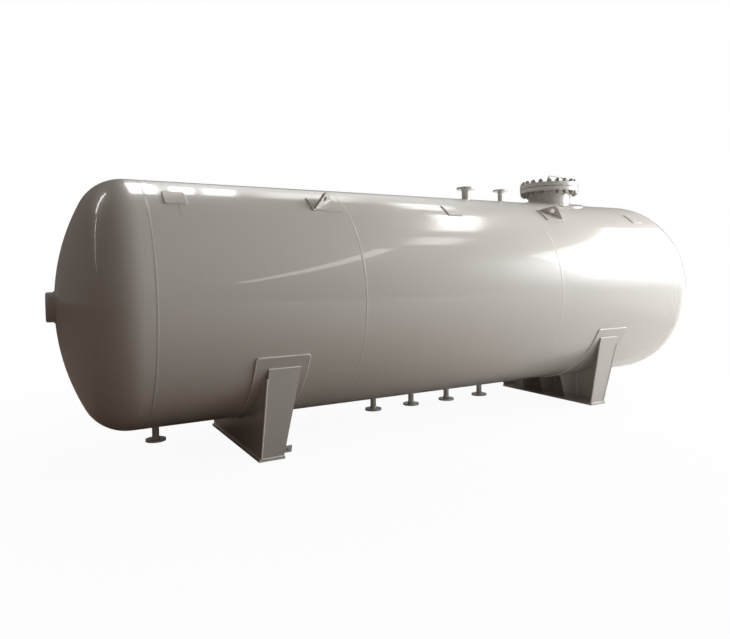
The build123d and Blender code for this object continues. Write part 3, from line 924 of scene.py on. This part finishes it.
def make_saddle_welds():
    """Welds of both saddles: end plates, webs, ribs and the outlines of the wear pads, in pale paint that
    is a painted highlight.
    """
    for saddle in ("saddle_fixed", "saddle_sliding"):
        weld(saddle + "_welds", saddle_paths(saddle), SADDLE_FILLET, SADDLE_FILLET, slot="saddle_paint")


def nut_outline(turn, across_flats):
    """Distance from a nut's axis to its side in a direction."""
    within = math.fmod(turn, math.pi / 3) - math.pi / 6
    return across_flats / 2 / math.cos(within)


def add_rings(shape, rings):
    """Join rings of points into a closed skin with flat ends."""
    made = [[shape.verts.new(point) for point in ring] for ring in rings]
    count = len(rings[0])
    for low, high in zip(made, made[1:]):
        for step in range(count):
            following = (step + 1) % count
            shape.faces.new((low[step], low[following], high[following], high[step]))
    shape.faces.new(list(reversed(made[0])))
    shape.faces.new(made[-1])


def upright_ring(radius, z, sides):
    """Ring of points round the upright axis at a height."""
    turns = [2 * math.pi * step / sides for step in range(sides)]
    return [(radius * math.cos(turn), radius * math.sin(turn), z) for turn in turns]


def add_nut(shape, base, across_flats=NUT_ACROSS_FLATS, nut_height=NUT_HEIGHT):
    """Hexagon nut with both faces' corners turned off, standing on a height."""
    face_radius = NUT_FACE_SHARE * across_flats / 2
    slope = math.tan(math.radians(NUT_CHAMFER))
    rings = []
    for height, turned_off in ((0.0, True), (0.0, False), (nut_height, False), (nut_height, True)):
        ring = []
        for step in range(NUT_SIDES):
            turn = 2 * math.pi * step / NUT_SIDES
            side = nut_outline(turn, across_flats)
            drop = (side - face_radius) * slope
            if turned_off:
                radius = face_radius
                z = base + height
            else:
                radius = side
                z = base + (height - drop if height > 0 else drop)
            ring.append((radius * math.cos(turn), radius * math.sin(turn), z))
        rings.append(ring)
    add_rings(shape, rings)


def add_stud(shape, low, high):
    """Stud with its thread's ridges on both bare ends."""
    crest = MANWAY_STUD / 2
    root = crest - THREAD_DEPTH
    turns = int(STUD_REACH / THREAD_PITCH)
    profile = [(root - STUD_CHAMFER, low)]
    for end, sign in ((low, 1), (high, -1)):
        ridges = []
        for turn in range(turns):
            ridges.append((root, end + sign * (turn + 0.25) * THREAD_PITCH))
            ridges.append((crest, end + sign * (turn + 0.75) * THREAD_PITCH))
        profile += ridges[::sign]
    profile.append((root - STUD_CHAMFER, high))
    add_rings(shape, [upright_ring(radius, z, STUD_SIDES) for radius, z in profile])


def make_manway_bolts():
    """Studs through both manway flanges, with a nut on either side."""
    flange_bottom = NECK_TOP - MANWAY_RAISED_FACE - MANWAY_FLANGE_THICKNESS
    cover_top = COVER_HIGH.z
    shape = bmesh.new()
    add_nut(shape, cover_top + SEAT)
    add_nut(shape, flange_bottom - NUT_HEIGHT - SEAT)
    add_stud(shape, flange_bottom - STUD_REACH, cover_top + STUD_REACH)
    bmesh.ops.recalc_face_normals(shape, faces=shape.faces)
    mesh = bpy.data.meshes.new("manway_bolt")
    shape.to_mesh(mesh)
    shape.free()
    grown("manway_bolts", mesh, RING_TREE, {
        "Count": MANWAY_STUDS,
        "Radius": MANWAY_CIRCLE / 2,
        "First Turn": math.pi / MANWAY_STUDS,
        "Centre": (MANWAY_X, 0.0, 0.0),
        "Material": MATERIALS["fastener_steel"],
    })


def add_disc(shape, radius, low, high):
    """Short upright cylinder."""
    add_rings(shape, [upright_ring(radius, z, DISC_SIDES) for z in (low, high)])


def make_earthing_bolt():
    """Small bolt through the earthing lug's hole, with washers, its head outside and its nut inside."""
    low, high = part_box("earthing_lug")
    out = end_plate_line("saddle_fixed", 0.0)[2]
    face = EARTH_LUG_THICKNESS / 2 + EARTH_WASHER_GAP
    washer = face + EARTH_WASHER_THICKNESS
    shape = bmesh.new()
    add_nut(shape, washer, EARTH_NUT_ACROSS_FLATS, EARTH_HEAD_HEIGHT)
    add_nut(shape, -washer - EARTH_NUT_HEIGHT, EARTH_NUT_ACROSS_FLATS, EARTH_NUT_HEIGHT)
    add_disc(shape, EARTH_WASHER / 2, face, washer)
    add_disc(shape, EARTH_WASHER / 2, -washer, -face)
    bolt_end = washer + EARTH_NUT_HEIGHT + EARTH_BOLT_SPARE
    add_disc(shape, EARTH_BOLT / 2, -bolt_end, washer + EARTH_HEAD_HEIGHT / 2)
    bmesh.ops.recalc_face_normals(shape, faces=shape.faces)
    along = Vector((1.0, 0.0, 0.0))
    turn = Matrix((along, out.cross(along), out)).transposed().to_4x4()
    centre = Vector((high.x - EARTH_LUG_REACH / 2, (low.y + high.y) / 2, (low.z + high.z) / 2))
    bmesh.ops.transform(shape, matrix=Matrix.Translation(centre) @ turn, verts=shape.verts)
    mesh = bpy.data.meshes.new("earthing_bolt")
    shape.to_mesh(mesh)
    shape.free()
    mesh.materials.append(MATERIALS["fastener_steel"])
    bolt = bpy.data.objects.new("earthing_bolt", mesh)
    bpy.context.scene.collection.objects.link(bolt)
    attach(bolt, BODY)


def camera_axes():
    """Right, up and forward directions of the camera."""
    forward = Vector((
        math.sin(CAMERA_YAW) * math.cos(CAMERA_PITCH),
        math.cos(CAMERA_YAW) * math.cos(CAMERA_PITCH),
        math.sin(CAMERA_PITCH),
    ))
    level = Vector((math.cos(CAMERA_YAW), -math.sin(CAMERA_YAW), 0.0))
    down = -level.cross(forward)
    right = math.cos(CAMERA_ROLL) * level + math.sin(CAMERA_ROLL) * down
    lower = -math.sin(CAMERA_ROLL) * level + math.cos(CAMERA_ROLL) * down
    return right, -lower, forward


def make_camera():
    """Camera at the photograph's viewing angle."""
    data = bpy.data.cameras.new("camera")
    data.sensor_width = SENSOR_MM
    data.lens = FOCAL_PIXELS / IMAGE_WIDTH * SENSOR_MM
    data.shift_y = (OPTICAL_AXIS_Y - IMAGE_HEIGHT / 2) / IMAGE_WIDTH
    camera = bpy.data.objects.new("camera", data)
    right, up, forward = camera_axes()
    turn = Matrix((right, up, -forward)).transposed().to_4x4()
    camera.matrix_world = Matrix.Translation(Vector(CAMERA_PLACE)) @ turn
    bpy.context.scene.collection.objects.link(camera)
    bpy.context.scene.camera = camera


def background_share(tree, backdrop):
    """How far a ray sees the white background: the eye everywhere, mirrors and glass in the backdrop."""
    rays = node(tree, "ShaderNodeLightPath").outputs
    mirror_ray = calc(tree, "MAXIMUM", rays["Is Glossy Ray"], rays["Is Transmission Ray"])
    return calc(tree, "MAXIMUM", rays["Is Camera Ray"], times(tree, mirror_ray, backdrop))


def floor_material():
    """Pale floor to the eye, shaded near the tank; bare concrete to the tank, sunlit at its right."""
    material = bpy.data.materials.new("floor")
    material.use_nodes = True
    tree = material.node_tree
    tree.nodes.clear()
    place, x, y = object_place(tree)[:3]
    concrete = blend(tree, noise(tree, place, CONCRETE_SCALE), CONCRETE_DARK, CONCRETE_LIGHT)
    concrete = blend(tree, ramp(tree, x, *SUNLIT_ALONG), concrete, CONCRETE_SUNLIT)
    bare = node(tree, "ShaderNodeBsdfDiffuse", {"Color": concrete})
    strength = ramp(tree, x, *GLOW_ALONG, 0.0, GLOW_STRENGTH)
    sunshine = node(tree, "ShaderNodeEmission", {"Strength": strength})
    solid = node(tree, "ShaderNodeAddShader", {0: bare.outputs[0], 1: sunshine.outputs[0]})
    pale = node(tree, "ShaderNodeBsdfDiffuse", {"Color": FLOOR_PALE})
    glow = node(tree, "ShaderNodeEmission", {"Color": WHITE, "Strength": 1.0})
    squares = [calc(tree, "POWER", side, 2.0) for side in (calc(tree, "SUBTRACT", x, FLOOR_MIDDLE), y)]
    reach = calc(tree, "SQRT", calc(tree, "ADD", *squares))
    whiteness = ramp(tree, reach, *SHADE_REACH, SHADE_WHITENESS, 1.0)
    seen = node(tree, "ShaderNodeMixShader", {0: whiteness, 1: pale.outputs[0], 2: glow.outputs[0]})
    far_right = times(tree, ramp(tree, y, *WHITE_FLOOR_ACROSS), ramp(tree, x, *WHITE_FLOOR_ALONG))
    mixed = node(tree, "ShaderNodeMixShader", {
        0: background_share(tree, far_right), 1: solid.outputs[0], 2: seen.outputs[0],
    })
    node(tree, "ShaderNodeOutputMaterial", {"Surface": mixed.outputs[0]})
    return material


def make_floor():
    """Large level floor under the saddles."""
    corners = []
    for along, across in ((-1, -1), (1, -1), (1, 1), (-1, 1)):
        corners.append((FLOOR_MIDDLE + along * FLOOR_HALF, across * FLOOR_HALF, -FLOOR_DROP))
    mesh = bpy.data.meshes.new("floor")
    mesh.from_pydata(corners, [], [(0, 1, 2, 3)])
    mesh.materials.append(floor_material())
    floor = bpy.data.objects.new("floor", mesh)
    bpy.context.scene.collection.objects.link(floor)


def hall_colour(tree, x, y, z):
    """Colour of the hall in a direction: dim brown at the left, pale at the right, darker high up."""
    colour = blend(tree, ramp(tree, x, *PALE_X), HALL_DIM, HALL_PALE)
    colour = blend(tree, times(tree, ramp(tree, z, *HIGH_Z), HIGH_AMOUNT), colour, HALL_HIGH)
    gap = times(tree, ramp(tree, x, *GAP_X), ramp(tree, y, *GAP_Y))
    return blend(tree, gap, colour, HALL_GAP)


def backdrop_share(tree, x, y, z):
    """How far a direction lies within the white backdrop behind the tank."""
    share = ramp(tree, y, *BACKDROP_Y)
    share = times(tree, share, ramp(tree, x, *BACKDROP_LEFT_X))
    share = times(tree, share, ramp(tree, x, *BACKDROP_RIGHT_X))
    share = times(tree, share, ramp(tree, z, *BACKDROP_LOW_Z))
    return times(tree, share, ramp(tree, z, *BACKDROP_HIGH_Z))


def make_world():
    """White to the eye; to the tank a hall round it, with the white backdrop behind."""
    world = bpy.data.worlds.new("studio")
    world.use_nodes = True
    tree = world.node_tree
    tree.nodes.clear()
    direction = node(tree, "ShaderNodeTexCoord").outputs["Generated"]
    parts = node(tree, "ShaderNodeSeparateXYZ", {0: direction})
    x, y, z = (parts.outputs[axis] for axis in "XYZ")
    white = node(tree, "ShaderNodeBackground", {"Color": WHITE, "Strength": 1.0})
    around = node(tree, "ShaderNodeBackground", {"Color": hall_colour(tree, x, y, z), "Strength": 1.0})
    share = background_share(tree, backdrop_share(tree, x, y, z))
    mixed = node(tree, "ShaderNodeMixShader", {0: share, 1: around.outputs[0], 2: white.outputs[0]})
    node(tree, "ShaderNodeOutputWorld", {"Surface": mixed.outputs[0]})
    bpy.context.scene.world = world


def lamp_panel(name, place, aim, size, brightness, colour=WHITE[:3]):
    """Flat rectangular lamp that faces a place; its power follows from its area and brightness."""
    data = bpy.data.lights.new(name, "AREA")
    data.shape = "RECTANGLE"
    data.size = size[0]
    data.size_y = size[1]
    data.energy = brightness * math.pi * size[0] * size[1]
    data.color = colour
    lamp = bpy.data.objects.new(name, data)
    direction = Vector(aim) - Vector(place)
    lamp.rotation_euler = direction.to_track_quat("-Z", "Y").to_euler()
    lamp.location = place
    bpy.context.scene.collection.objects.link(lamp)


def glow_material(brightness, fade_across, fade_up, colour):
    """Light that is brightest at a panel's middle and fades towards its edges."""
    material = bpy.data.materials.new("glow")
    material.use_nodes = True
    tree = material.node_tree
    tree.nodes.clear()
    shares = []
    for name, start in (("across", fade_across), ("up", fade_up)):
        place = node(tree, "ShaderNodeAttribute", attribute_name=name).outputs["Fac"]
        shares.append(ramp(tree, calc(tree, "ABSOLUTE", place), start, 1.0, 1.0, 0.0))
    share = times(tree, *shares)
    glow = node(tree, "ShaderNodeEmission", {"Color": (*colour, 1.0), "Strength": brightness})
    clear = node(tree, "ShaderNodeBsdfTransparent")
    mixed = node(tree, "ShaderNodeMixShader", {0: share, 1: clear.outputs[0], 2: glow.outputs[0]})
    node(tree, "ShaderNodeOutputMaterial", {"Surface": mixed.outputs[0]})
    return material


def glow_panel(name, place, across, up, brightness, fades=(0.0, 0.0), colour=ROOF_LIGHT):
    """Panel of soft light round a place, given by its half sides; the camera doesn't see it."""
    place = Vector(place)
    across = Vector(across)
    up = Vector(up)
    corners = ((-1, -1), (1, -1), (1, 1), (-1, 1))
    mesh = bpy.data.meshes.new(name)
    mesh.from_pydata([place + u * across + v * up for u, v in corners], [], [(0, 1, 2, 3)])
    for attribute, index in (("across", 0), ("up", 1)):
        store = mesh.attributes.new(attribute, "FLOAT", "POINT")
        store.data.foreach_set("value", [float(corner[index]) for corner in corners])
    mesh.materials.append(glow_material(brightness, *fades, colour))
    panel = bpy.data.objects.new(name, mesh)
    panel.visible_camera = False
    bpy.context.scene.collection.objects.link(panel)


def roof_glows(lights):
    """Soft lights of the roof, as their table gives them."""
    for name, (middle, along, across, brightness, fades) in lights.items():
        glow_panel(name, (*middle, ROOF), (along, 0.0, 0.0), (*across, 0.0), brightness, fades)


def make_lights():
    """A bright doorway at the tank's right end, the glow round it, and lights in the roof.

    A roof lamp is aimed a hair off straight down, which settles the way that its sides run.
    """
    lamp_panel(
        "doorway", (10.0, -3.5, 4.95), aim=(0.0, -3.5, 4.95), size=(5.8, 4.5), brightness=4.8,
        colour=DAYLIGHT)
    glow_panel(
        "yard", (14.0, -5.5, 5.0), across=(5.0, 4.0, 0.0), up=(0.0, 0.0, 4.8), brightness=10.0,
        colour=DAYLIGHT)
    glow_panel(
        "roof_glow", (8.0, -3.5, 7.0), across=(8.0, 0.0, 0.0), up=(0.0, 9.0, 0.0), brightness=0.75,
        colour=ROOF_HAZE)
    roof_glows(ROOF_LIGHTS)
    lamp_panel(
        "roof_right_near", (4.2, -9.6, ROOF), aim=(4.2, -9.599, 0.0), size=(0.45, 10.8), brightness=4.0)
    roof_glows(ROOF_LIGHTS_LEFT)
    lamp_panel(
        "left_strip_near", (-3.9, 2.9, ROOF), aim=(-3.9, 2.91, 0.0), size=(2.6, 0.4), brightness=6.0)
    lamp_panel(
        "left_strip", (-11.0, 2.5, ROOF), aim=(-11.0, 2.51, 0.0), size=(11.0, 0.2), brightness=5.0)


dress_nodes()
make_shell_welds()
make_branch_welds()
make_pad_welds()
make_lug_welds()
make_boss_weld()
make_saddle_welds()
make_manway_bolts()
make_earthing_bolt()
make_camera()
make_world()
make_lights()
make_floor()
bpy.context.scene.view_settings.view_transform = "Standard"
